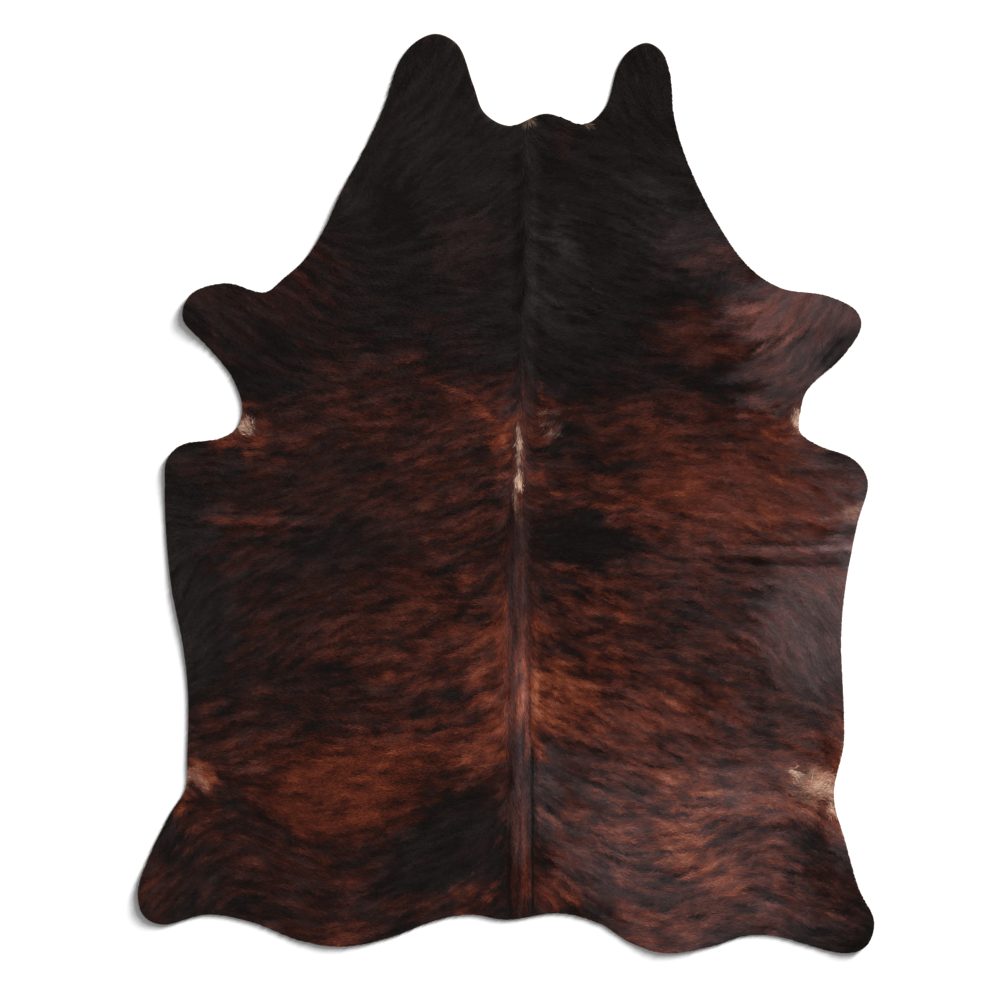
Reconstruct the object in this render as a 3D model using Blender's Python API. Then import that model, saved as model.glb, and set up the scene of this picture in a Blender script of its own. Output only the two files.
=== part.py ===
"""Cowhide rug: one whole tanned hide that lies flat on the floor with its short coat up.

The script works in millimetres and writes metres, +Z up. The neck points along +Y and the
hind feet along -Y. The origin is on the floor, under the middle of the hide's box. The hide
is a single sheet: leather with its coat combed flat on it, cut to the animal's own outline.
Its underside is flat on the floor but for a low ridge along the spine, the creases at the
two elbows and a few places at the rim where the leather has dried a little proud.
"""

from collections import namedtuple
from math import hypot

import bpy
import numpy as np
from mathutils import Vector
from mathutils.geometry import delaunay_2d_cdt

MM = 0.001

# Driving sizes, in millimetres.
LEATHER_THICKNESS = 2.2
COAT_THICKNESS = 1.8
RIM_STEP = 24.0
SURFACE_STEP = 72.0
RIM_CLEARANCE = 13.0

COAT_COLOUR = (0.036, 0.014, 0.010, 1.0)
COAT_ROUGHNESS = 0.55

# The outline, clockwise from above, as places that a smooth curve runs through. Each place
# is (x, y) in millimetres from the middle of the hide.
Stretch = namedtuple("Stretch", "name places")
OUTLINE = (
    Stretch("left ear", ((-262, 1060), (-222, 1107), (-172, 1126), (-120, 1100), (-81, 1001))),
    Stretch("notch of the neck", ((-54, 933), (6, 901), (96, 931), (191, 905), (241, 946))),
    Stretch("right ear", ((272, 1044), (299, 1084), (343, 1104), (380, 1083), (401, 1025))),
    Stretch("right side of the neck", ((409, 927), (439, 822), (506, 680), (589, 559))),
    Stretch("right foreleg", ((671, 503), (784, 484), (855, 448), (868, 410), (826, 339))),
    Stretch("right armpit", ((735, 252), (720, 205), (718, 151), (764, 117))),
    Stretch("right elbow", ((850, 83), (884, 31), (858, -77))),
    Stretch("right flank", ((828, -241), (819, -359), (826, -543), (825, -618), (802, -724))),
    Stretch("right thigh", ((806, -779), (824, -834))),
    Stretch("right hind leg", ((862, -967), (900, -1050), (880, -1109), (831, -1126))),
    Stretch("right side of the rump", ((645, -1082), (572, -1086), (510, -1107), (390, -1126))),
    Stretch("right of the tail", ((304, -1101), (228, -1054), (132, -1028))),
    Stretch("tail", ((-2, -1044), (-88, -1031), (-172, -1045))),
    Stretch("left side of the rump", ((-284, -1087), (-402, -1110), (-507, -1095))),
    Stretch("left hind leg", ((-627, -1049), (-733, -1031), (-845, -1056), (-889, -1034))),
    Stretch("left hock", ((-903, -976), (-866, -869), (-820, -779), (-787, -725))),
    Stretch("left flank", ((-782, -640), (-780, -495), (-792, -376), (-821, -229), (-835, -80))),
    Stretch("left elbow", ((-837, 20), (-832, 82), (-798, 118), (-701, 135))),
    Stretch("left armpit", ((-662, 159), (-647, 207), (-674, 288))),
    Stretch("left foreleg", ((-733, 360), (-793, 428), (-774, 487), (-686, 515), (-593, 492))),
    Stretch("left shoulder", ((-546, 527), (-494, 574), (-448, 645), (-404, 740))),
    Stretch("left side of the neck", ((-358, 826), (-303, 941))),
)

# The line of the backbone, tail to neck, and the low ridge that the hide keeps along it.
Backbone = namedtuple("Backbone", "y x")
BACKBONE = (
    Backbone(-1035, 37),
    Backbone(-700, 34),
    Backbone(-510, 29),
    Backbone(-115, 27),
    Backbone(60, 32),
    Backbone(250, 39),
    Backbone(620, 47),
    Backbone(915, 51),
)
RIDGE_HEIGHT = 4.0
RIDGE_HALF_WIDTH = 36.0
RIDGE_END_TAPER = 130.0
RIDGE_ROW_STEP = 52.0

# Creases across the hide: a soft raised fold from one end to the other. An end that lies
# past the outline lets the fold run out through the rim.
Crease = namedtuple("Crease", "name x1 y1 x2 y2 half_width height")
CREASES = (
    Crease("above the right elbow", 600, 60, 970, 69, 24, 2.5),
    Crease("right elbow fold", 640, -75, 980, -80, 24, 3.0),
    Crease("right flank fold", 480, -151, 980, -148, 26, 3.5),
    Crease("left elbow fold", -800, -71, -390, -77, 26, 2.5),
)
CREASE_TAPER = 110.0
CREASE_STEP = 56.0

# Places where the leather stands a little off the floor: low domes with an oval foot.
Swell = namedtuple("Swell", "name x y half_length half_width height")
SWELLS = (
    Swell("left ear", -190, 1150, 130, 150, 5.0),
    Swell("right ear", 345, 1130, 120, 140, 4.0),
    Swell("left foreleg", -800, 440, 170, 130, 6.0),
    Swell("right foreleg", 880, 420, 180, 140, 6.0),
    Swell("left elbow", -880, 60, 150, 120, 4.0),
    Swell("right elbow", 930, -20, 170, 150, 4.5),
    Swell("right flank", 870, -430, 110, 190, 4.0),
    Swell("left flank", -860, -330, 110, 210, 3.5),
    Swell("right hind foot", 930, -1110, 190, 170, 6.0),
    Swell("left hind foot", -940, -1010, 170, 160, 5.5),
    Swell("right side of the rump", 380, -1180, 230, 130, 5.0),
    Swell("left side of the rump", -430, -1170, 220, 120, 4.5),
    Swell("right side of the neck", 590, 680, 130, 190, 3.5),
    Swell("left shoulder", -470, 730, 120, 180, 3.5),
)


def clear_scene():
    """Remove every object of the scene."""
    for item in list(bpy.data.objects):
        bpy.data.objects.remove(item, do_unlink=True)


def coat_material():
    """The hide's plain base finish: a very dark red-brown coat."""
    material = bpy.data.materials.new("brindle_coat")
    material.use_nodes = True
    shader = material.node_tree.nodes["Principled BSDF"]
    shader.inputs["Base Color"].default_value = COAT_COLOUR
    shader.inputs["Roughness"].default_value = COAT_ROUGHNESS
    shader.inputs["Metallic"].default_value = 0.0
    return material


def centripetal_curve(places, samples_per_stretch=24):
    """A closed Catmull-Rom curve with centripetal spacing through the given places."""
    p1 = places
    p0 = np.roll(places, 1, axis=0)
    p2 = np.roll(places, -1, axis=0)
    p3 = np.roll(places, -2, axis=0)
    t1 = np.sqrt(np.linalg.norm(p1 - p0, axis=1))[:, None, None]
    t2 = t1 + np.sqrt(np.linalg.norm(p2 - p1, axis=1))[:, None, None]
    t3 = t2 + np.sqrt(np.linalg.norm(p3 - p2, axis=1))[:, None, None]
    share = np.linspace(0.0, 1.0, samples_per_stretch, endpoint=False)[None, :, None]
    t = t1 + (t2 - t1) * share
    p0, p1, p2, p3 = (p[:, None, :] for p in (p0, p1, p2, p3))
    a1 = (t1 - t) / t1 * p0 + t / t1 * p1
    a2 = (t2 - t) / (t2 - t1) * p1 + (t - t1) / (t2 - t1) * p2
    a3 = (t3 - t) / (t3 - t2) * p2 + (t - t2) / (t3 - t2) * p3
    b1 = (t2 - t) / t2 * a1 + t / t2 * a2
    b2 = (t3 - t) / (t3 - t1) * a2 + (t - t1) / (t3 - t1) * a3
    curve = (t2 - t) / (t2 - t1) * b1 + (t - t1) / (t2 - t1) * b2
    return curve.reshape(-1, 2)


def even_steps(curve, step):
    """The closed curve again, as points an even step apart along it."""
    closed = np.vstack((curve, curve[:1]))
    along = np.concatenate(([0.0], np.cumsum(np.linalg.norm(np.diff(closed, axis=0), axis=1))))
    stations = np.linspace(0.0, along[-1], int(round(along[-1] / step)), endpoint=False)
    return np.column_stack([np.interp(stations, along, closed[:, axis]) for axis in (0, 1)])


def hide_rim():
    """The hide's outline, anticlockwise, centred on its own box."""
    places = np.array([place for stretch in OUTLINE for place in stretch.places], dtype=float)
    rim = even_steps(centripetal_curve(places), RIM_STEP)[::-1]
    return rim - (rim.min(axis=0) + rim.max(axis=0)) / 2


def backbone_x(y):
    """How far right of the middle the backbone lies at each y."""
    return np.interp(y, [row.y for row in BACKBONE], [row.x for row in BACKBONE])


def soft_step(share):
    """0 below 0, 1 above 1, and a smooth S between."""
    share = np.clip(share, 0.0, 1.0)
    return share * share * (3.0 - 2.0 * share)


def soft_hump(share):
    """1 at 0, falling along a cosine to 0 at 1 and beyond."""
    return 0.5 + 0.5 * np.cos(np.pi * np.clip(np.abs(share), 0.0, 1.0))


def ridge_lift(x, y):
    """Height of the ridge along the backbone, which fades out before the neck and the tail."""
    head_end = BACKBONE[-1].y
    tail_end = BACKBONE[0].y
    ends = soft_step((head_end - y) / RIDGE_END_TAPER) * soft_step((y - tail_end) / RIDGE_END_TAPER)
    return RIDGE_HEIGHT * ends * soft_hump((x - backbone_x(y)) / RIDGE_HALF_WIDTH)


def crease_lift(crease, x, y):
    """Height of one crease: a cosine hump across it, tapered at its two ends."""
    length = hypot(crease.x2 - crease.x1, crease.y2 - crease.y1)
    along_x = (crease.x2 - crease.x1) / length
    along_y = (crease.y2 - crease.y1) / length
    along = (x - crease.x1) * along_x + (y - crease.y1) * along_y
    across = (y - crease.y1) * along_x - (x - crease.x1) * along_y
    ends = soft_step(along / CREASE_TAPER) * soft_step((length - along) / CREASE_TAPER)
    return crease.height * ends * soft_hump(across / crease.half_width)


def swell_lift(swell, x, y):
    """Height of one low dome with an oval foot."""
    share = np.hypot((x - swell.x) / swell.half_length, (y - swell.y) / swell.half_width)
    return swell.height * soft_hump(share)


def hide_lift(x, y):
    """How far the underside stands off the floor at (x, y)."""
    lift = ridge_lift(x, y)
    for crease in CREASES:
        lift = lift + crease_lift(crease, x, y)
    for swell in SWELLS:
        lift = lift + swell_lift(swell, x, y)
    return lift


def ridge_points():
    """Rows across the backbone, close enough together to carry the ridge's round top."""
    y = np.arange(BACKBONE[0].y, BACKBONE[-1].y, RIDGE_ROW_STEP)
    share = np.array([-1.0, -0.75, -0.5, -0.25, 0.0, 0.25, 0.5, 0.75, 1.0])
    x = backbone_x(y)[:, None] + share[None, :] * RIDGE_HALF_WIDTH
    return np.column_stack((x.ravel(), np.repeat(y, share.size)))


def crease_points(crease):
    """Rows across one crease, as on the ridge."""
    start = np.array([crease.x1, crease.y1], dtype=float)
    run = np.array([crease.x2 - crease.x1, crease.y2 - crease.y1], dtype=float)
    length = np.linalg.norm(run)
    along = run / length
    across = np.array([-along[1], along[0]])
    stations = np.arange(0.0, length, CREASE_STEP)
    share = np.array([-1.0, -0.65, -0.3, 0.0, 0.3, 0.65, 1.0]) * crease.half_width
    rows = start + stations[:, None, None] * along + share[None, :, None] * across
    return rows.reshape(-1, 2)


def surface_points(low, high):
    """A lattice of equal triangles over the hide's box."""
    row_step = SURFACE_STEP * np.sqrt(3.0) / 2
    rows = np.arange(low[1], high[1], row_step)
    columns = np.arange(low[0], high[0], SURFACE_STEP)
    x, y = np.meshgrid(columns, rows)
    x = x + (np.arange(rows.size) % 2)[:, None] * SURFACE_STEP / 2
    return np.column_stack((x.ravel(), y.ravel()))


def inside(points, rim):
    """Which points lie inside the outline: a level line to the right crosses it an odd number
    of times."""
    x, y = points[:, 0, None], points[:, 1, None]
    start, end = rim, np.roll(rim, -1, axis=0)
    spans = (start[:, 1] > y) != (end[:, 1] > y)
    rise = np.where(end[:, 1] == start[:, 1], 1.0, end[:, 1] - start[:, 1])
    crossing = start[:, 0] + (y - start[:, 1]) / rise * (end[:, 0] - start[:, 0])
    return (spans & (crossing > x)).sum(axis=1) % 2 == 1


def nearest(points, others):
    """Distance from each point to the nearest of the others."""
    gaps = points[:, None, :] - others[None, :, :]
    return np.sqrt((gaps ** 2).sum(axis=2).min(axis=1))


def inner_points(rim):
    """Every point of the sheet inside its rim: close rows on ridge and creases, and an even
    lattice between them."""
    fold_rows = [ridge_points()] + [crease_points(crease) for crease in CREASES]
    folds = np.vstack(fold_rows)
    lattice = surface_points(rim.min(axis=0), rim.max(axis=0))
    lattice = lattice[nearest(lattice, folds) > SURFACE_STEP / 2]
    points = np.vstack((folds, lattice))
    points = points[inside(points, rim)]
    finer_rim = even_steps(rim, RIM_STEP / 4)
    return points[nearest(points, finer_rim) > RIM_CLEARANCE]


def hide():
    """The hide's one solid: its underside as a triangle mesh, thickened upwards."""
    rim = hide_rim()
    points = np.vstack((rim, inner_points(rim)))
    flat = [Vector(point) for point in points]
    corners, _, faces, _, _, _ = delaunay_2d_cdt(flat, [], [list(range(len(rim)))], 1, 1e-4)
    corners = np.array([tuple(corner) for corner in corners])
    lift = hide_lift(corners[:, 0], corners[:, 1])

    mesh = bpy.data.meshes.new("hide")
    mesh.from_pydata((np.column_stack((corners, lift)) * MM).tolist(), [], faces)
    mesh.update()
    mesh.shade_smooth()
    mesh.materials.append(coat_material())

    sheet = bpy.data.objects.new("hide", mesh)
    bpy.context.scene.collection.objects.link(sheet)
    thicken = sheet.modifiers.new("thickness", "SOLIDIFY")
    thicken.thickness = (LEATHER_THICKNESS + COAT_THICKNESS) * MM
    thicken.offset = 1.0
    return sheet


clear_scene()
hide()
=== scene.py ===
"""Looks of the cowhide rug: the hide as one thin closed sheet, its short coat as locks of hair, the
brindle colours, a pale floor, soft light and the camera straight above.

The tables are in millimetres and degrees where no comment says otherwise, in the hide's own frame:
+X to the right, +Y towards the neck, +Z up out of the coat. What is built from them is in metres.
"""

from collections import namedtuple
from math import hypot

import bpy
import numpy as np
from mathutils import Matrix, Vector
from mathutils.geometry import delaunay_2d_cdt


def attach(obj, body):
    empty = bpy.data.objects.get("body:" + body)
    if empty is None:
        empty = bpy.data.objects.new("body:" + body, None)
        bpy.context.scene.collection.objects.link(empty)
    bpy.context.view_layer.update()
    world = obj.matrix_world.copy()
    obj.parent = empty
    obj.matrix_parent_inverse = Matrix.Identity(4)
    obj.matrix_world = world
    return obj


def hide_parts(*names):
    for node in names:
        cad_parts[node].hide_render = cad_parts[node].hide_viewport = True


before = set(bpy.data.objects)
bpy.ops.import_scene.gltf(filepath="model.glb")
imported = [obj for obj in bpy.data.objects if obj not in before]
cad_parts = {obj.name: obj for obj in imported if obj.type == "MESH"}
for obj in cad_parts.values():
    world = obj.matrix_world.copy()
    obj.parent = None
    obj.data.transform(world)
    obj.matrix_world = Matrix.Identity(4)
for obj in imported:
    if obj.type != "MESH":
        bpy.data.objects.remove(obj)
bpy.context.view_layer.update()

MM = 0.001

# ---------------------------------------------------------------------------------------------
# The hide's own sizes, the same as those of its solid.
# ---------------------------------------------------------------------------------------------

LEATHER_THICKNESS = 2.2

# The outline, clockwise from above, as places that a smooth curve runs through.
Stretch = namedtuple("Stretch", "name places")
OUTLINE = (
    Stretch("left ear", ((-262, 1060), (-222, 1107), (-172, 1126), (-120, 1100), (-81, 1001))),
    Stretch("notch of the neck", ((-54, 933), (6, 901), (96, 931), (191, 905), (241, 946))),
    Stretch("right ear", ((272, 1044), (299, 1084), (343, 1104), (380, 1083), (401, 1025))),
    Stretch("right side of the neck", ((409, 927), (439, 822), (506, 680), (589, 559))),
    Stretch("right foreleg", ((671, 503), (784, 484), (855, 448), (868, 410), (826, 339))),
    Stretch("right armpit", ((735, 252), (720, 205), (718, 151), (764, 117))),
    Stretch("right elbow", ((850, 83), (884, 31), (858, -77))),
    Stretch("right flank", ((828, -241), (819, -359), (826, -543), (825, -618), (802, -724))),
    Stretch("right thigh", ((806, -779), (824, -834))),
    Stretch("right hind leg", ((862, -967), (900, -1050), (880, -1109), (831, -1126))),
    Stretch("right side of the rump", ((645, -1082), (572, -1086), (510, -1107), (390, -1126))),
    Stretch("right of the tail", ((304, -1101), (228, -1054), (132, -1028))),
    Stretch("tail", ((-2, -1044), (-88, -1031), (-172, -1045))),
    Stretch("left side of the rump", ((-284, -1087), (-402, -1110), (-507, -1095))),
    Stretch("left hind leg", ((-627, -1049), (-733, -1031), (-845, -1056), (-889, -1034))),
    Stretch("left hock", ((-903, -976), (-866, -869), (-820, -779), (-787, -725))),
    Stretch("left flank", ((-782, -640), (-780, -495), (-792, -376), (-821, -229), (-835, -80))),
    Stretch("left elbow", ((-837, 20), (-832, 82), (-798, 118), (-701, 135))),
    Stretch("left armpit", ((-662, 159), (-647, 207), (-674, 288))),
    Stretch("left foreleg", ((-733, 360), (-793, 428), (-774, 487), (-686, 515), (-593, 492))),
    Stretch("left shoulder", ((-546, 527), (-494, 574), (-448, 645), (-404, 740))),
    Stretch("left side of the neck", ((-358, 826), (-303, 941))),
)

# The line of the backbone, tail to neck, and the low ridge that the hide keeps along it.
Backbone = namedtuple("Backbone", "y x")
BACKBONE = (
    Backbone(-1035, 37),
    Backbone(-700, 34),
    Backbone(-510, 29),
    Backbone(-115, 27),
    Backbone(60, 32),
    Backbone(250, 39),
    Backbone(620, 47),
    Backbone(915, 51),
)
RIDGE_HEIGHT = 4.0
RIDGE_HALF_WIDTH = 36.0
RIDGE_END_TAPER = 130.0

# Soft raised folds across the hide.
Crease = namedtuple("Crease", "name x1 y1 x2 y2 half_width height")
CREASES = (
    Crease("above the right elbow", 600, 60, 970, 69, 24, 2.5),
    Crease("right elbow fold", 640, -75, 980, -80, 24, 3.0),
    Crease("right flank fold", 480, -151, 980, -148, 26, 3.5),
    Crease("left elbow fold", -800, -71, -390, -77, 26, 2.5),
)
CREASE_TAPER = 110.0

# Places where the leather stands a little off the floor: low domes with an oval foot.
Swell = namedtuple("Swell", "name x y half_length half_width height")
SWELLS = (
    Swell("left ear", -190, 1150, 130, 150, 5.0),
    Swell("right ear", 345, 1130, 120, 140, 4.0),
    Swell("left foreleg", -800, 440, 170, 130, 6.0),
    Swell("right foreleg", 880, 420, 180, 140, 6.0),
    Swell("left elbow", -880, 60, 150, 120, 4.0),
    Swell("right elbow", 930, -20, 170, 150, 4.5),
    Swell("right flank", 870, -430, 110, 190, 4.0),
    Swell("left flank", -860, -330, 110, 210, 3.5),
    Swell("right hind foot", 930, -1110, 190, 170, 6.0),
    Swell("left hind foot", -940, -1010, 170, 160, 5.5),
    Swell("right side of the rump", 380, -1180, 230, 130, 5.0),
    Swell("left side of the rump", -430, -1170, 220, 120, 4.5),
    Swell("right side of the neck", 590, 680, 130, 190, 3.5),
    Swell("left shoulder", -470, 730, 120, 180, 3.5),
)

# ---------------------------------------------------------------------------------------------
# The coat's own sizes.
# ---------------------------------------------------------------------------------------------

LOCK_SPACING = 3.03
LOCK_LENGTH = 18.0
LOCK_WIDTH = 2.5
# How much longer pale hair is, and how much each lock's length, width and rise may differ, as shares.
PALE_LENGTHENING = 0.4
LOCK_VARIETY = 0.25
# A lock is widest at this share of its length, and its rib stands this far above its two sides there.
LOCK_WIDEST = 0.42
LOCK_RIB = 0.18
# How high the root and the tip of a lock stand above the leather.
ROOT_HEIGHT = 0.25
TIP_HEIGHT = 1.1
# How far inside the rim the outermost roots lie, and how far past it the hair may reach.
ROOT_CLEARANCE = 0.8
RIM_OVERHANG = 1.0
# How far a root is shaken out of its lattice, as a share of the spacing, and the locks' seed.
ROOT_SHAKE = 0.42
LOCK_SEED = 31
# The least difference of two clearances that is divided by.
CLOSE = 1e-6
# Even random numbers from 0 to 1 have a spread of 1 once they are multiplied by this.
EVEN_SPREAD = np.sqrt(12.0)

# The coat is four pieces, one below the other, and a lock belongs to the piece that its root is in.
CoatBand = namedtuple("CoatBand", "name low_y high_y")
COAT_BANDS = (
    CoatBand("coat_neck", 310, 1200),
    CoatBand("coat_forequarter", -165, 310),
    CoatBand("coat_barrel", -620, -165),
    CoatBand("coat_rump", -1200, -620),
)

# The lie of the coat: how far below straight outwards the hair points, at places on the hide. 0 is
# straight away from the backbone, 90 straight towards the tail.
Lie = namedtuple("Lie", "name x y fall")
LIES = (
    Lie("left ear", -190, 1040, 70),
    Lie("left side of the neck", -280, 820, 45),
    Lie("left of the crest", -100, 700, 20),
    Lie("left shoulder", -240, 470, 8),
    Lie("left shoulder point", -440, 460, -20),
    Lie("left foreleg", -690, 450, -32),
    Lie("back of the left foreleg", -700, 340, -48),
    Lie("left shoulder blade", -250, 330, 4),
    Lie("left armpit", -590, 200, 0),
    Lie("left elbow", -740, 60, -4),
    Lie("left ribs, front", -420, 110, 24),
    Lie("left back, front", -180, 150, 2),
    Lie("left of the withers", -75, 90, 28),
    Lie("left ribs, above the crease", -480, -30, 3),
    Lie("left back, middle", -200, -60, 7),
    Lie("left ribs, below the crease", -500, -150, 42),
    Lie("left ribs, towards the loin", -320, -400, 26),
    Lie("left flank", -730, -300, 60),
    Lie("left ribs, rear", -540, -330, 18),
    Lie("left back, rear", -260, -290, 2),
    Lie("left loin", -330, -520, 0),
    Lie("left flank fold", -690, -620, 18),
    Lie("left flank, rear", -565, -520, 2),
    Lie("left hip", -380, -680, 9),
    Lie("left thigh, front", -570, -885, -34),
    Lie("left croup", -200, -760, 8),
    Lie("left rump", -330, -880, 16),
    Lie("left buttock", -160, -890, 32),
    Lie("left thigh", -520, -1010, -6),
    Lie("left hock", -780, -900, 50),
    Lie("right ear", 345, 1040, 70),
    Lie("right side of the neck", 330, 800, 20),
    Lie("right of the crest", 170, 700, 10),
    Lie("right of the withers", 200, 340, 14),
    Lie("right shoulder", 420, 450, 14),
    Lie("right shoulder point", 640, 450, -18),
    Lie("right foreleg", 790, 420, -45),
    Lie("back of the right foreleg", 760, 330, -58),
    Lie("behind the right shoulder", 540, 320, -4),
    Lie("right back, front", 200, 180, 12),
    Lie("right ribs, front", 400, 110, -1),
    Lie("right ribs, lower front", 550, 60, 13),
    Lie("right elbow", 670, 0, 46),
    Lie("right elbow point", 810, 80, 2),
    Lie("right back, middle", 230, -100, 6),
    Lie("right ribs, middle", 480, -150, 13),
    Lie("right flank, front", 690, -140, 8),
    Lie("right flank", 770, -340, 84),
    Lie("right ribs, rear", 500, -330, 13),
    Lie("right back, rear", 230, -380, 20),
    Lie("right loin", 400, -530, 10),
    Lie("right flank fold", 670, -580, 4),
    Lie("right flank, rear", 500, -520, 8),
    Lie("right hip", 350, -690, 14),
    Lie("right thigh rim", 810, -720, 60),
    Lie("right rump", 300, -850, 18),
    Lie("right thigh, upper", 540, -780, 18),
    Lie("right thigh", 545, -885, -62),
    Lie("right thigh, rear", 600, -1010, 5),
    Lie("right buttock", 190, -930, 20),
    Lie("right hock", 800, -1000, 32),
)
# Nearness to a lie fades over this reach, and never quite to nothing.
LIE_REACH = 100.0
LIE_LEAST = 1e-5

# Along the backbone runs a strip where the hair lies straight to the tail. Beside it the hair falls
# steeply, which fades over the reach.
Strip = namedtuple("Strip", "y half_width reach")
STRIP = (
    Strip(-1035, 34, 26),
    Strip(-700, 32, 34),
    Strip(-520, 31, 50),
    Strip(-320, 29, 46),
    Strip(-170, 28, 24),
    Strip(0, 16, 15),
    Strip(250, 8, 22),
    Strip(915, 5, 30),
)
STRIP_EDGE = 16.0
CREST_FALL = 56.0

# Whorls, where the coat turns round a point: at the middle the hair is turned by this much.
Whorl = namedtuple("Whorl", "name x y reach turn")
WHORLS = (
    Whorl("whorl beside the withers", 105, 160, 75, 70),
    Whorl("whorl on the right shoulder", 512, 500, 60, 120),
    Whorl("left armpit tuft", -625, 160, 60, -60),
    Whorl("right armpit tuft", 705, 175, 60, 60),
    Whorl("left flank tuft", -750, -715, 85, -70),
    Whorl("right flank tuft", 765, -725, 85, 70),
)

# ---------------------------------------------------------------------------------------------
# Markings, and painted sheen. An amount is added in an oval that has it in full in the middle and none
# at its rim.
# turn, where there is one, is the slope of the oval's length: 10 rises by 10 degrees towards +X.
# ---------------------------------------------------------------------------------------------

Mark = namedtuple("Mark", "name x y half_length half_width amount turn", defaults=(0,))

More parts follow.
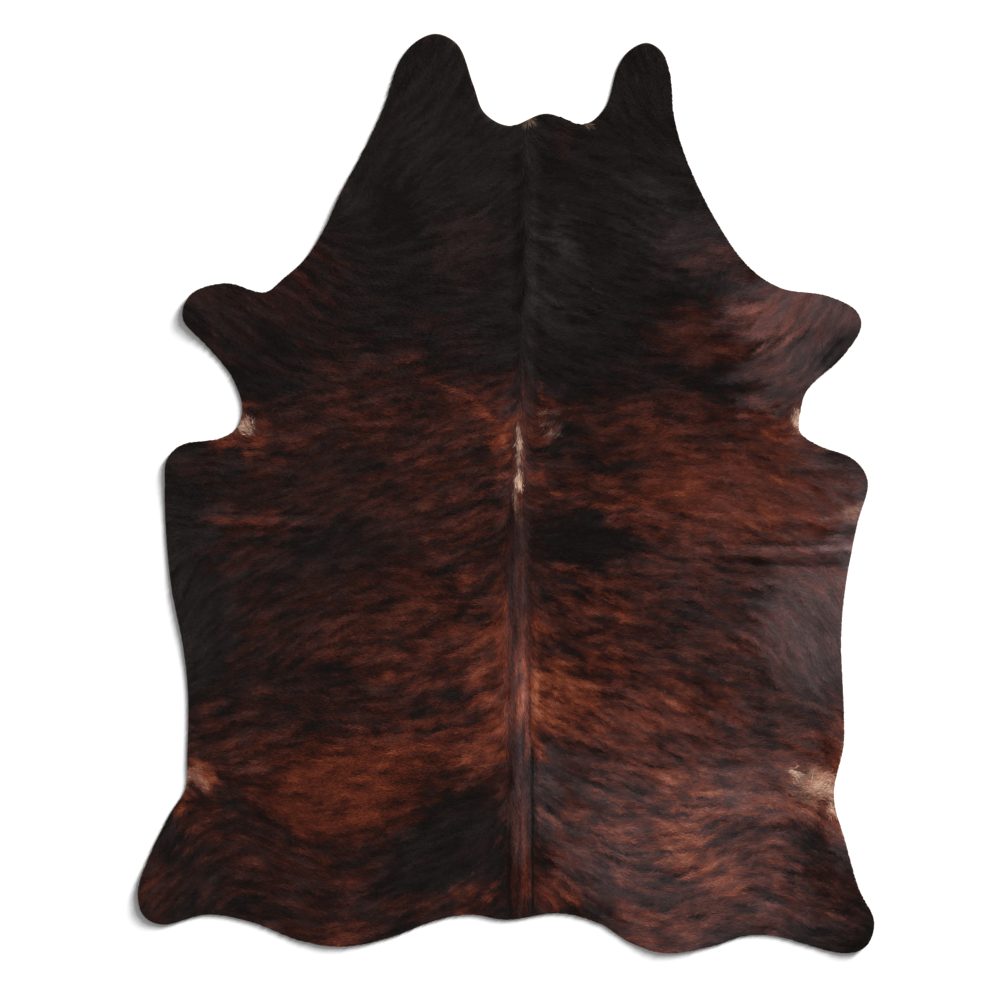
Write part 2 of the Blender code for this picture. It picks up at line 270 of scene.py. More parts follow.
# Rust on the dark ground of the coat.
RUST = (
    Mark("left side", -393, -285, 588, 735, 0.16),
    Mark("left ribs, rear", -319, -347, 245, 221, 0.08),
    Mark("left back", -106, -290, 284, 612, 0.13),
    Mark("left back, rear", -48, -481, 176, 233, 0.15),
    Mark("left shoulder band", -221, 249, 368, 142, 0.13),
    Mark("left shoulder blade", -197, 119, 294, 147, 0.09),
    Mark("left shoulder, lower", -405, 175, 245, 88, 0.06),
    Mark("left of the withers", -43, 200, 135, 108, 0.11),
    Mark("left back, front", -52, -60, 74, 123, 0.12),
    Mark("left armpit", -643, 160, 103, 88, 0.34),
    Mark("left elbow, front", -577, 131, 147, 98, 0.12),
    Mark("left elbow, below the crease", -631, -77, 147, 64, 0.14),
    Mark("left foreleg", -596, 474, 208, 110, 0.11),
    Mark("back of the left foreleg", -687, 356, 113, 88, 0.10),
    Mark("left shoulder, front", -449, 535, 103, 127, 0.13),
    Mark("left shoulder", -425, 352, 123, 108, 0.07),
    Mark("left of the crest", -92, 601, 103, 147, 0.07),
    Mark("left of the crest, rear", -148, 376, 110, 98, 0.08),
    Mark("right side of the neck", 457, 621, 137, 108, 0.08),
    Mark("neck, right of the notch", 134, 866, 39, 64, 0.08),
    Mark("left hip band", -141, -614, 255, 88, 0.25, 5),
    Mark("left hip", -405, -719, 306, 162, 0.40),
    Mark("left rump", -489, -918, 331, 221, 0.20),
    Mark("left thigh, front edge", -743, -810, 78, 74, 0.25),
    Mark("left hem of the rump", -393, -1106, 184, 88, 0.26),
    Mark("left hock", -851, -957, 108, 127, 0.16),
    Mark("left flank, rear", -694, -614, 147, 147, 0.17),
    Mark("left flank tuft, round it", -738, -714, 83, 83, 0.27),
    Mark("left flank tuft", -748, -697, 64, 54, 0.40),
    Mark("left flank tuft, below", -787, -766, 24, 44, 0.60, -35),
    Mark("withers", 33, 102, 69, 186, 0.34),
    Mark("right of the withers", 92, 180, 42, 83, 0.34),
    Mark("streak above the withers", 75, 263, 7, 44, 0.30),
    Mark("left of the withers tuft", -1, 151, 39, 59, 0.26),
    Mark("bright spot left of the withers", -33, 192, 27, 17, 0.38),
    Mark("right side", 477, -359, 588, 833, 0.28),
    Mark("right side, front", 545, -6, 417, 157, 0.31),
    Mark("right elbow, below the creases", 736, -126, 167, 83, 0.18),
    Mark("right of the strip, front", 126, -16, 69, 152, 0.19),
    Mark("right of the strip", 188, -266, 152, 113, 0.18),
    Mark("right loin", 438, -545, 257, 113, 0.14),
    Mark("right elbow", 808, -53, 147, 147, 0.12),
    Mark("right elbow edge", 844, -40, 54, 29, 0.16),
    Mark("right shoulder blade", 330, 168, 368, 123, 0.14),
    Mark("right armpit", 697, 170, 147, 113, 0.36),
    Mark("right back, rear", 114, -501, 172, 162, 0.36),
    Mark("right back", 276, -535, 270, 176, 0.13),
    Mark("fan left of the strip, upper", -33, -325, 59, 27, 0.24, 42),
    Mark("fan left of the strip, lower", -43, -428, 64, 24, 0.24, 42),
    Mark("fan right of the strip, upper", 87, -330, 54, 20, 0.20, -48),
    Mark("fan right of the strip, lower", 97, -462, 69, 29, 0.30, -42),
    Mark("bright spot on the left ribs", -280, -440, 29, 17, 0.30),
    Mark("right rump", 469, -805, 343, 245, 0.28, -20),
    Mark("right buttock, inner", 148, -805, 83, 66, 0.34),
    Mark("right rump, middle", 438, -844, 98, 162, 0.29, -10),
    Mark("right flank tuft, round it", 736, -722, 152, 123, 0.36),
    Mark("right flank tuft", 766, -714, 74, 64, 0.45),
    Mark("right flank rim", 815, -599, 37, 118, 0.44),
    Mark("right flank, rear", 717, -609, 162, 83, 0.12),
    Mark("right flank, front", 727, -200, 103, 69, 0.20),
    Mark("tail head", 104, -967, 78, 113, 0.34),
    Mark("hem right of the tail", 330, -1089, 196, 108, 0.38),
    Mark("right hind leg", 575, -1001, 314, 147, 0.31),
    Mark("right buttock", 212, -927, 191, 152, 0.26),
    Mark("right hind leg, rim", 815, -976, 93, 152, 0.14),
    Mark("strip of the rump", 26, -844, 49, 235, 0.33),
    Mark("bright spot of the loin, right", 65, -481, 20, 59, 0.40),
    Mark("bright spot of the loin", 36, -491, 17, 49, 0.34),
    Mark("left of the tail", -72, -998, 78, 74, 0.40),
    Mark("hem left of the tail", -209, -1008, 123, 54, 0.14),
    Mark("left of the loin strip", -48, -668, 103, 88, 0.24),
    Mark("beside the strip, left fan", -6, -334, 24, 98, 0.27),
    Mark("beside the strip, right fan", 70, -330, 20, 64, 0.27),
    Mark("right thigh", 825, -805, 78, 103, 0.36),
    Mark("right shoulder band", 521, 393, 245, 103, 0.34),
    Mark("right foreleg", 722, 454, 225, 142, 0.42),
    Mark("right shoulder, front", 531, 567, 113, 69, 0.20),
    Mark("right leg, behind", 673, 298, 147, 69, 0.16),
    Mark("right back, middle", 330, -266, 88, 98, 0.12),
    Mark("left of the loin", -8, -481, 64, 147, 0.10),
    Mark("left loin, outer", -542, -609, 74, 54, 0.08),
    Mark("left hip, bright", -337, -702, 98, 69, 0.15),
    Mark("left of the black patch", -266, -795, 59, 49, 0.13),
    Mark("right flank rim, front", 825, -224, 42, 78, 0.15),
    Mark("right of the parting", 126, -761, 59, 103, 0.14),
    Mark("strip of the loin", 31, -359, 34, 147, 0.14),
    Mark("left of the strip, middle", -48, -261, 83, 98, 0.06),
)
# Dark spots, which take rust away.
DARK = (
    Mark("black patch of the rump", -121, -842, 127, 118, 0.58, 6),
    Mark("black patch beside the backbone", 195, -104, 145, 100, 0.33, -4),
    Mark("dark band across the left ribs", -393, -126, 294, 88, 0.12),
    Mark("left ribs, outer", -613, -403, 123, 74, 0.08),
    Mark("dark spot left of the withers", -160, 205, 64, 34, 0.12),
    Mark("dark spot on the left ribs", -356, 82, 110, 44, 0.10),
    Mark("left flank", -773, -310, 167, 306, 0.17),
    Mark("dark streak on the left flank", -430, -457, 110, 37, 0.10),
    Mark("dark streak left of the backbone", -190, -506, 118, 49, 0.16),
    Mark("dark spot on the right ribs", 428, -310, 86, 61, 0.10),
    Mark("whorl on the right shoulder", 514, 499, 49, 39, 0.34),
    Mark("dark spot right of the withers", 141, 156, 27, 24, 0.45),
    Mark("dark spot below it", 107, 99, 24, 20, 0.34),
    Mark("dark spot right of the back", 139, -214, 44, 12, 0.30, -8),
    Mark("dark spot right of the back, lower", 222, -305, 47, 17, 0.34, -5),
    Mark("dark spot by the strip", 82, -241, 17, 22, 0.30),
    Mark("dark spot left of the back", -123, -192, 29, 12, 0.20),
    Mark("dark spot left of the loin", -126, -484, 49, 22, 0.36),
    Mark("dark spots on the left ribs", -493, -285, 49, 15, 0.16),
    Mark("dark spot on the left ribs, rear", -253, -371, 34, 17, 0.22),
    Mark("dark streaks on the left ribs, rear", -413, -425, 69, 20, 0.16, 8),
    Mark("left buttock", -258, -873, 93, 98, 0.05),
    Mark("right shoulder, behind", 489, 273, 98, 54, 0.12),
    Mark("dark spot below the tail head", 256, -1008, 83, 54, 0.08),
    Mark("left edge, front", -797, -28, 98, 98, 0.10),
    Mark("right ribs, rear", 342, -425, 74, 44, 0.10),
    Mark("left thigh, upper", -562, -815, 83, 49, 0.11),
    Mark("right loin, rear", 325, -707, 83, 49, 0.14),
    Mark("right of the hem", 545, -1099, 74, 44, 0.12),
    Mark("right hip, rear", 722, -820, 64, 54, 0.10),
    Mark("right rump, lower", 531, -918, 83, 54, 0.10),
)
# Painted sheen over both: a mauve-grey lightening where the hair catches the light, strongest on the
# right side and in a light line above the right elbow's crease, and less of it where the coat is black
# or pure rust.
PAINTED_SHEEN = (
    Mark("neck", 85, 842, 637, 564, 0.07),
    Mark("shoulders", 134, 388, 417, 152, 0.06),
    Mark("neck, left", -351, 768, 54, 64, 0.03),
    Mark("left of the crest", -87, 633, 108, 137, 0.05),
    Mark("neck, right", 391, 756, 137, 83, 0.14),
    Mark("left foreleg", -719, 437, 147, 162, 0.06),
    Mark("left edge", -768, -187, 123, 368, 0.13),
    Mark("left hip", -393, -714, 343, 162, -0.20),
    Mark("left ribs", -295, -359, 368, 270, -0.03),
    Mark("black spot right of the crest", 85, 817, 49, 110, -0.08),
    Mark("black spot on the left of the neck", -263, 709, 78, 152, -0.16),
    Mark("black spot on the right of the neck", 207, 621, 88, 64, -0.07),
    Mark("black spot before the right shoulder", 305, 315, 74, 54, -0.03),
    Mark("right flank", 781, -300, 225, 265, 1.70),
    Mark("right elbow rim", 874, -99, 105, 211, 2.10),
    Mark("right elbow, light crease", 751, 67, 113, 7, 0.90),
    Mark("right flank, rear", 722, -530, 206, 113, 0.46),
    Mark("right of the loin", 178, -692, 137, 152, 0.28),
    Mark("beside the parting", 90, -717, 44, 172, 0.60),
    Mark("loin", 315, -555, 152, 123, 0.26),
    Mark("right hind leg", 678, -1074, 186, 132, 0.46),
    Mark("right elbow", 795, 13, 123, 103, 0.50),
    Mark("right rump", 438, -873, 397, 299, 1.10, -12),
    Mark("right flank tuft, round it", 629, -712, 201, 113, 0.92),
    Mark("right hip", 563, -628, 270, 123, 0.35),
    Mark("hem right of the tail", 359, -1106, 265, 93, 0.50),
    Mark("right thigh", 835, -839, 83, 123, 0.95),
    Mark("strip of the rump", 28, -780, 44, 157, 0.50),
    Mark("right shoulder", 732, 435, 240, 147, 1.60),
    Mark("right leg, behind", 683, 266, 162, 103, 1.10),
    Mark("right armpit", 746, 131, 108, 88, 0.50),
    Mark("right side of the neck", 477, 606, 152, 118, 0.54, -10),
    Mark("right of the crest", 124, 535, 69, 221, 0.22),
    Mark("right of the crest, narrow", 124, 621, 29, 98, 0.16),
    Mark("strip of the backbone", 24, -163, 37, 809, 0.26),
    Mark("strip of the backbone, rear", 31, -521, 42, 225, 0.84),
    Mark("strip of the back, left", 11, -276, 17, 152, 0.50),
    Mark("strip of the withers", 31, 119, 24, 147, 0.30),
    Mark("right ribs", 575, -261, 368, 417, 0.30),
    Mark("left flank", -662, -261, 39, 135, 0.12),
    Mark("crest", 124, 658, 39, 147, 0.05),
    Mark("withers tuft, right", 97, 160, 44, 59, 0.24),
    Mark("neck, right, lower", 330, 658, 127, 147, 0.12),
    Mark("right shoulder, front", 570, 454, 98, 103, 0.42),
    Mark("left armpit", -638, 168, 64, 49, 0.20),
    Mark("right flank rim, rear", 839, -560, 54, 127, 0.55),
    Mark("right buttock", 217, -913, 113, 108, 0.42),
    Mark("right buttock, inner", 136, -810, 64, 69, 0.34),
    Mark("right rump, upper", 540, -766, 118, 59, 0.14),
    Mark("left of the strip", -57, -359, 64, 221, 0.10),
)
# Tufts of pale hair, and pale hair at the rim.
PALE = (
    Mark("left flank tuft", -756, -702, 49, 42, 0.07),
    Mark("left flank tuft, rim", -778, -709, 15, 39, 0.14, -8),
    Mark("right flank tuft", 763, -722, 32, 20, 0.55, -25),
    Mark("right flank tuft, all", 754, -712, 88, 61, 0.26, -25),
    Mark("right flank tuft, lower", 793, -756, 34, 29, 0.42, -30),
    Mark("right flank tuft, upper", 697, -680, 22, 7, 0.60, -40),
    Mark("right flank rim, upper", 820, -648, 7, 54, 0.45),
    Mark("left armpit tuft", -631, 156, 29, 20, 0.75),
    Mark("right armpit tuft", 712, 170, 20, 29, 0.60),
    Mark("withers tuft, upper", 32, 141, 7, 42, 0.36),
    Mark("withers line", 31, 82, 5, 49, 0.26),
    Mark("withers tuft", 33, 40, 11, 29, 0.74),
    Mark("withers tuft, strands", 27, -16, 8, 49, 0.20, 4),
    Mark("tuft right of the withers", 95, 195, 32, 7, 0.12, -6),
    Mark("tuft right of the withers, middle", 95, 163, 29, 7, 0.13, 8),
    Mark("tuft right of the withers, lower", 102, 138, 29, 7, 0.18, -4),
    Mark("right thigh rim", 822, -815, 10, 64, 0.45, 12),
    Mark("right elbow edge", 849, -40, 49, 24, 0.17),
    Mark("notch rim, middle", 55, 915, 15, 10, 0.10),
    Mark("notch rim, right", 190, 905, 20, 10, 0.10),
)
# Where the streaks stand out more than elsewhere, or less.
LIVELY = (
    Mark("right rump", 440, -860, 420, 290, 0.45, -12),
    Mark("right of the strip", 190, -350, 160, 330, 0.35),
    Mark("left of the strip", -90, -350, 130, 330, 0.10),
    Mark("left hip", -400, -730, 300, 160, -0.25),
    Mark("right ribs, front", 560, 20, 360, 170, -0.30),
    Mark("right foreleg", 740, 450, 230, 150, -0.25),
    Mark("right shoulder", 470, 390, 210, 120, -0.40),
    Mark("right elbow", 800, 0, 140, 140, -0.25),
    Mark("left ribs", -400, -200, 330, 430, -0.18),
    Mark("left rump", -420, -930, 300, 170, -0.15),
    Mark("neck", 70, 780, 660, 560, -0.68),
    Mark("left foreleg", -670, 400, 210, 200, -0.40),
    Mark("left flank", -770, -280, 170, 370, -0.55),
    Mark("right flank", 780, -320, 200, 270, -0.30),
)
MARK_SOFTNESS = 0.65

# Thin lines on the coat: partings, edges, curls and creases. An amount over 0 adds rust; one below 0
# is painted shade in the partings, along the strip and in the creases, and takes that share of all
# colour away; and the leather dips by the depth.
Line = namedtuple("Line", "name x1 y1 x2 y2 half_width amount depth", defaults=(0.0,))
LINES = (
    Line("parting right of the tail line", 62, -592, 63, -1035, 6, -0.80, 0.8),
    Line("line beside that parting", 76, -599, 77, -873, 5, 0.26),
    Line("parting on the tail line", 41, -521, 41, -643, 5, -0.55, 0.5),
    Line("left edge of the strip", 6, -780, 6, -1040, 11, -0.70, 0.5),
    Line("right edge of the strip, loin", 55, -408, 57, -609, 5, -0.40, 0.5),
    Line("left edge of the strip, back", 15, -163, 15, -261, 6, -0.45),
    Line("middle of the strip, loin", 26, -276, 26, -428, 8, -0.34),
    Line("right edge of the strip, back", 52, -163, 52, -261, 5, -0.45),
    Line("middle of the strip, back", 28, -50, 28, -168, 22, -0.50),
    Line("bright line of the loin", 68, -285, 68, -614, 10, 0.25),
    Line("line of the back", 41, -178, 43, -290, 5, 0.22),
    Line("line of the loin", 47, -261, 47, -481, 5, 0.22),
    Line("line of the loin, middle", 33, -383, 33, -575, 8, 0.16),
    Line("line of the rump", 47, -780, 47, -1016, 8, 0.16),
    Line("edge of the strip, left", 3, -197, 3, -609, 7, 0.26),
    Line("line of the neck", 43, 364, 43, 209, 4, 0.10, 0.3),
    Line("curl left of the withers, front", -190, 288, -87, 244, 10, 0.34),
    Line("curl left of the withers, upper", -104, 251, -38, 205, 10, 0.34),
    Line("curl left of the withers", -62, 202, -3, 175, 12, 0.26),
    Line("curl left of the withers, lower", -13, 185, 26, 72, 11, 0.34),
    Line("curl right of the withers, upper", 68, 77, 87, 9, 11, 0.36),
    Line("curl right of the withers", 80, 21, 144, -23, 11, 0.34),
    Line("curl right of the withers, lower", 124, -21, 286, -36, 10, 0.26),
    # Painted shade in the creases of the elbows and the right flank, over the troughs they lie in.
    Line("right elbow, middle crease", 736, -97, 859, -99, 7, -0.50, 0.9),
    Line("right elbow, lower crease", 545, -121, 825, -121, 10, -0.60, 1.0),
    Line("right flank crease", 570, -173, 844, -173, 9, -0.62, 1.0),
    Line("right flank, fine crease", 624, -151, 835, -151, 5, -0.30, 0.4),
    Line("left elbow, outer crease", -738, -50, -586, -53, 7, -0.62, 0.9),
    Line("left elbow, below that crease", -719, -67, -572, -70, 11, 0.22),
    Line("left elbow, inner crease", -562, -53, -410, -55, 7, -0.55, 0.8),
    Line("left elbow, below the inner crease", -542, -70, -449, -70, 10, 0.24),
)
LINE_TAPER = 45.0

# The grid on which the lie of the coat and its markings are worked out, the step of the points along
# the rim, and how many places are measured against the rim at a time.
FIELD_STEP = 2.5
FIELD_MARGIN = 45.0
RIM_STEP = 8.0
CLEARANCE_BLOCK = 20000
# A reading stays this many steps short of the grid's count, so that its cell has a far side.
GRID_GUARD = 1.001

# Unevenness over the hide: its size, in patches as broad as the blur. The lie of the coat turns by
# two of them, in degrees, and the third moves the edges of the markings sideways.
Patches = namedtuple("Patches", "seed blur size")
BROAD_SWAY = Patches(11, 45.0, 7.0)
CLUMP_SWAY = Patches(12, 12.0, 5.0)
RAGGED = Patches(22, 9.0, 7.0)

# Each lock's own turn in degrees, and its own shade of rust.
LOCK_SWAY = 15.0
LOCK_SWAY_IN_STRIP = 9.0
LOCK_JITTER = 0.05

# Streaks along the hair: how thick they are, how far they are drawn out, and their size.
Streak = namedtuple("Streak", "seed blur reach size")
CLOUD = Streak(27, 13.0, 40.0, 0.35)
BROAD = Streak(23, 4.6, 28.0, 0.4)
NARROW = Streak(24, 2.3, 18.0, 0.56)
FINE = Streak(25, 1.0, 10.0, 0.36)
IN_STRIP = Streak(26, 2.0, 42.0, 0.55)
# The streaks of the painted sheen.
PAINTED_SHEEN_STREAK = Streak(28, 2.3, 28.0, 0.8)
FEATHER = Streak(21, 4.0, 22.0, 26.0)
# Marks whose half width or half length is below this are feathered less, in proportion.
FEATHERED_WIDTH = 90.0

# How strongly the streaks work on rust: at the least, and more with more rust.
STREAK_LEAST = 0.03
STREAK_CONTRAST = 0.24
# The painted sheen that the whole coat has, how strongly streaks work on it, how much of it is flecked
# into the rust, and how far its streaks follow those of the rust.
PAINTED_SHEEN_EVERYWHERE = 0.085
PAINTED_SHEEN_CONTRAST = 0.28
PAINTED_SHEEN_FLECKS = 0.07
PAINTED_SHEEN_FROM_RUST_STREAKS = 0.5
# How uneven pale hair is, and the shares of the narrow and the fine streaks in that.
PALE_CONTRAST = 0.8
PALE_NARROW_SHARE = 0.6
PALE_FINE_SHARE = 0.8

# The sheet: the steps of its two faces, and its cut edge from above to below, by how far inside the
# rim and how high above the underside it is.
TOP_STEP = 9.0
UNDER_STEP = 20.0
Edge = namedtuple("Edge", "inset height")
EDGE_PROFILE = (
    Edge(0.6, 2.2),
    Edge(0.0, 1.7),
    Edge(0.0, 0.5),
    Edge(0.5, 0.0),
)
# The lattice that fills a face stops this share of its step short of the rim, and points closer than
# the tolerance are one.
LATTICE_CLEARANCE = 0.6
JOIN_TOLERANCE = 1e-4
# The triangulation's output type that keeps only the triangles inside the given outline.
INSIDE_ONLY = 1
# On the sheet's map each ring of the cut edge lies this far outside the one before it. Each side of
# the sheet has half of the map: the size of a half, and the two corners where the halves start.
EDGE_ON_MAP = 4.0
HALF_OF_MAP = (0.48, 0.98)
UPPER_ON_MAP = (0.01, 0.01)
UNDER_ON_MAP = (0.51, 0.01)

# Colours of the coat in linear light, from its darkest hair to its lightest rust.
Tone = namedtuple("Tone", "rust colour")
TONES = (
    Tone(0.00, (0.0045, 0.0032, 0.0026)),
    Tone(0.25, (0.0205, 0.0050, 0.0032)),
    Tone(0.50, (0.0610, 0.0118, 0.0058)),
    Tone(0.75, (0.1200, 0.0228, 0.0098)),
    Tone(1.00, (0.1880, 0.0430, 0.0155)),
    Tone(1.40, (0.3200, 0.0980, 0.0520)),
)
RUST_TOP = TONES[-1].rust
# The mauve-grey that the painted sheen adds where the hair catches the light.
PAINTED_SHEEN_COLOUR = (0.030, 0.023, 0.024)
PALE_COLOUR = (0.66, 0.42, 0.30)
SUEDE_DARK = (0.19, 0.125, 0.080)
SUEDE_LIGHT = (0.36, 0.26, 0.175)
FLOOR_DARK = (0.89, 0.89, 0.89)
FLOOR_LIGHT = (0.91, 0.91, 0.91)

# Finishes: roughness where the fine texture is lowest and how much the texture adds, the specular
# level, and the strength of the bump and its depth in metres.
Finish = namedtuple("Finish", "roughness added_roughness specular bump bump_depth")
HAIR_FINISH = Finish(0.42, 0.16, 0.08, 0.3, 0.0003)
COAT_BASE_FINISH = Finish(0.60, 0.10, 0.08, 0.5, 0.0004)
SUEDE_FINISH = Finish(0.80, 0.12, 0.20, 0.4, 0.0004)

# Hairs drawn within a lock: across it, along it, and how far apart two locks read their noise.
HAIRS_ACROSS = 3.5
HAIRS_ALONG = 1.3
LOCK_APART = 83.0
# How much light and dark there is in the coat and in the base under it. In the coat a lock's own
# shade and its hairs have their shares in it.
HAIR_SHADE_RANGE = 0.26
SHADE_OF_LOCK = 0.6
SHADE_OF_HAIRS = 0.4
BASE_SHADE_RANGE = 0.4
# The base has this share of the rust.
RUST_IN_BASE = 0.9
# Waves in a metre of the base's nap, of the suede's clouds and nap and of the floor's clouds, and the
# shares of clouds and nap in the suede's colour.
BASE_NAP = 900.0
SUEDE_CLOUDS = 7.0
SUEDE_NAP = 420.0
FLOOR_CLOUDS = 1.5
SUEDE_CLOUD_SHARE = 0.7
SUEDE_NAP_SHARE = 0.3

# Camera and floor, in metres, but for the camera's sensor, which is in millimetres.
PHOTO_WIDTH = 2.45
CAMERA_HEIGHT = 12.0
CAMERA_PLACE = (-0.0147, -0.0159)
CAMERA_SIGHT = 100.0
SENSOR_WIDTH = 36.0
FLOOR_HALF_WIDTH = 30.0
FLOOR_DROP = 0.0003

# Light: two wide suns, one above the other, for one soft light from the upper right, and an even sky.
# Azimuth from +X, elevation and width are in degrees.
Lamp = namedtuple("Lamp", "name azimuth elevation width strength")
LAMPS = (
    Lamp("low key", 45, 12, 14, 6.9),
    Lamp("high key", 45, 21, 26, 4.2),
)
SKY_STRENGTH = 0.31

scene = bpy.context.scene


def soft_step(share):
    """0 below 0, 1 above 1, and a smooth S between."""
    share = np.clip(share, 0.0, 1.0)
    return share * share * (3.0 - 2.0 * share)


def soft_hump(share):
    """1 at 0, falling along a cosine to 0 at 1 and beyond."""
    return 0.5 + 0.5 * np.cos(np.pi * np.clip(np.abs(share), 0.0, 1.0))


def centripetal_curve(places, samples_per_stretch=24):
    """A closed smooth curve with centripetal spacing through the given places: each point is a blend
    of the four places round it, weighed by the square roots of the distances between them."""
    p1 = places
    p0 = np.roll(places, 1, axis=0)
    p2 = np.roll(places, -1, axis=0)
    p3 = np.roll(places, -2, axis=0)
    t1 = np.sqrt(np.linalg.norm(p1 - p0, axis=1))[:, None, None]
    t2 = t1 + np.sqrt(np.linalg.norm(p2 - p1, axis=1))[:, None, None]
    t3 = t2 + np.sqrt(np.linalg.norm(p3 - p2, axis=1))[:, None, None]
    share = np.linspace(0.0, 1.0, samples_per_stretch, endpoint=False)[None, :, None]
    t = t1 + (t2 - t1) * share
    p0, p1, p2, p3 = (p[:, None, :] for p in (p0, p1, p2, p3))
    a1 = (t1 - t) / t1 * p0 + t / t1 * p1
    a2 = (t2 - t) / (t2 - t1) * p1 + (t - t1) / (t2 - t1) * p2
    a3 = (t3 - t) / (t3 - t2) * p2 + (t - t2) / (t3 - t2) * p3
    b1 = (t2 - t) / t2 * a1 + t / t2 * a2
    b2 = (t3 - t) / (t3 - t1) * a2 + (t - t1) / (t3 - t1) * a3
    curve = (t2 - t) / (t2 - t1) * b1 + (t - t1) / (t2 - t1) * b2
    return curve.reshape(-1, 2)


def even_steps(curve, step):
    """The closed curve again, as points an even step apart along it."""
    closed = np.vstack((curve, curve[:1]))
    along = np.concatenate(([0.0], np.cumsum(np.linalg.norm(np.diff(closed, axis=0), axis=1))))
    stations = np.linspace(0.0, along[-1], int(round(along[-1] / step)), endpoint=False)
    return np.column_stack([np.interp(stations, along, closed[:, axis]) for axis in (0, 1)])


def hide_rim(step):
    """The hide's outline, anticlockwise, centred on its own box."""
    places = np.array([place for stretch in OUTLINE for place in stretch.places], dtype=float)
    rim = even_steps(centripetal_curve(places), step)[::-1]
    return rim - (rim.min(axis=0) + rim.max(axis=0)) / 2


def backbone_x(y):
    """How far right of the middle the backbone lies at each y."""
    return np.interp(y, [row.y for row in BACKBONE], [row.x for row in BACKBONE])


def ridge_lift(x, y):
    """Height of the ridge: a cosine hump across the backbone that fades out at its two ends."""
    head_end = BACKBONE[-1].y
    tail_end = BACKBONE[0].y
    ends = soft_step((head_end - y) / RIDGE_END_TAPER) * soft_step((y - tail_end) / RIDGE_END_TAPER)
    return RIDGE_HEIGHT * ends * soft_hump((x - backbone_x(y)) / RIDGE_HALF_WIDTH)


def along_and_across(line, x, y):
    """Distance along a line from its first end, distance to its left, and the line's length."""
    length = hypot(line.x2 - line.x1, line.y2 - line.y1)
    along_x = (line.x2 - line.x1) / length
    along_y = (line.y2 - line.y1) / length
    along = (x - line.x1) * along_x + (y - line.y1) * along_y
    across = (y - line.y1) * along_x - (x - line.x1) * along_y
    return along, across, length


def line_hump(line, taper, x, y):
    """1 on the middle of a line, a cosine hump across it, tapered at its two ends."""
    along, across, length = along_and_across(line, x, y)
    ends = soft_step(along / taper) * soft_step((length - along) / taper)
    return ends * soft_hump(across / line.half_width)


def hide_lift(x, y):
    """How far the underside stands off the floor: ridge, creases and swells added up."""
    lift = ridge_lift(x, y)
    for crease in CREASES:
        lift = lift + crease.height * line_hump(crease, CREASE_TAPER, x, y)
    for swell in SWELLS:
        share = np.hypot((x - swell.x) / swell.half_length, (y - swell.y) / swell.half_width)
        lift = lift + swell.height * soft_hump(share)
    return lift


# ---------------------------------------------------------------------------------------------
# Quantities over the hide, kept on a square grid.
# ---------------------------------------------------------------------------------------------

RIM = hide_rim(RIM_STEP)
GRID_LOW = RIM.min(axis=0) - FIELD_MARGIN
GRID_COLUMNS, GRID_ROWS = np.ceil((RIM.max(axis=0) + FIELD_MARGIN - GRID_LOW) / FIELD_STEP).astype(int)
GRID_X, GRID_Y = np.meshgrid(
    GRID_LOW[0] + np.arange(GRID_COLUMNS) * FIELD_STEP,
    GRID_LOW[1] + np.arange(GRID_ROWS) * FIELD_STEP,
)


def read_grid(values, x, y):
    """Bilinear reading of a grid: the four values round each place, weighed by nearness."""
    column = np.clip((x - GRID_LOW[0]) / FIELD_STEP, 0, GRID_COLUMNS - GRID_GUARD)
    row = np.clip((y - GRID_LOW[1]) / FIELD_STEP, 0, GRID_ROWS - GRID_GUARD)
    i = column.astype(int)
    j = row.astype(int)
    u = column - i
    v = row - j
    lower = values[j, i] * (1 - u) + values[j, i + 1] * u
    upper = values[j + 1, i] * (1 - u) + values[j + 1, i + 1] * u
    return lower * (1 - v) + upper * v


def rim_clearance(x, y):
    """How far inside the rim each place is, negative outside it: the distance to the nearer of the
    two stretches of rim that meet at the nearest rim point, signed by the side of the rim there. The
    gaps are squared distances less the place's own square, which is the same for every rim point."""
    places = np.column_stack((x.ravel(), y.ravel()))
    before = np.roll(RIM, 1, axis=0)
    after = np.roll(RIM, -1, axis=0)
    clearance = np.empty(len(places))
    for start in range(0, len(places), CLEARANCE_BLOCK):
        block = places[start:start + CLEARANCE_BLOCK]
        gaps = (RIM ** 2).sum(axis=1)[None, :] - 2.0 * block @ RIM.T
        nearest = gaps.argmin(axis=1)
        corner = RIM[nearest]
        distance = np.full(len(block), np.inf)
        for other in (before[nearest], after[nearest]):
            run = other - corner
            share = ((block - corner) * run).sum(axis=1) / (run ** 2).sum(axis=1)
            foot = corner + np.clip(share, 0.0, 1.0)[:, None] * run
            distance = np.minimum(distance, np.linalg.norm(block - foot, axis=1))
        tangent = after[nearest] - before[nearest]
        offset = block - corner
        side = tangent[:, 0] * offset[:, 1] - tangent[:, 1] * offset[:, 0]
        clearance[start:start + CLEARANCE_BLOCK] = np.copysign(distance, side)
    return clearance.reshape(np.shape(x))


def soft_noise(seed, blur):
    """White noise smoothed by a bell-shaped blur, as wide as given in mm, by way of its spectrum, and
    scaled to an average of 0 and a spread of 1."""
    noise = np.random.default_rng(seed).normal(size=(GRID_ROWS, GRID_COLUMNS))
    per_mm_y = np.fft.fftfreq(GRID_ROWS, FIELD_STEP)[:, None]
    per_mm_x = np.fft.rfftfreq(GRID_COLUMNS, FIELD_STEP)[None, :]
    keep = np.exp(-2.0 * (np.pi * blur) ** 2 * (per_mm_x ** 2 + per_mm_y ** 2))
    noise = np.fft.irfft2(np.fft.rfft2(noise) * keep, s=noise.shape)
    return (noise - noise.mean()) / noise.std()


def patches(kind):
    """Unevenness in patches: soft noise of the kind's blur, times its size."""
    return kind.size * soft_noise(kind.seed, kind.blur)


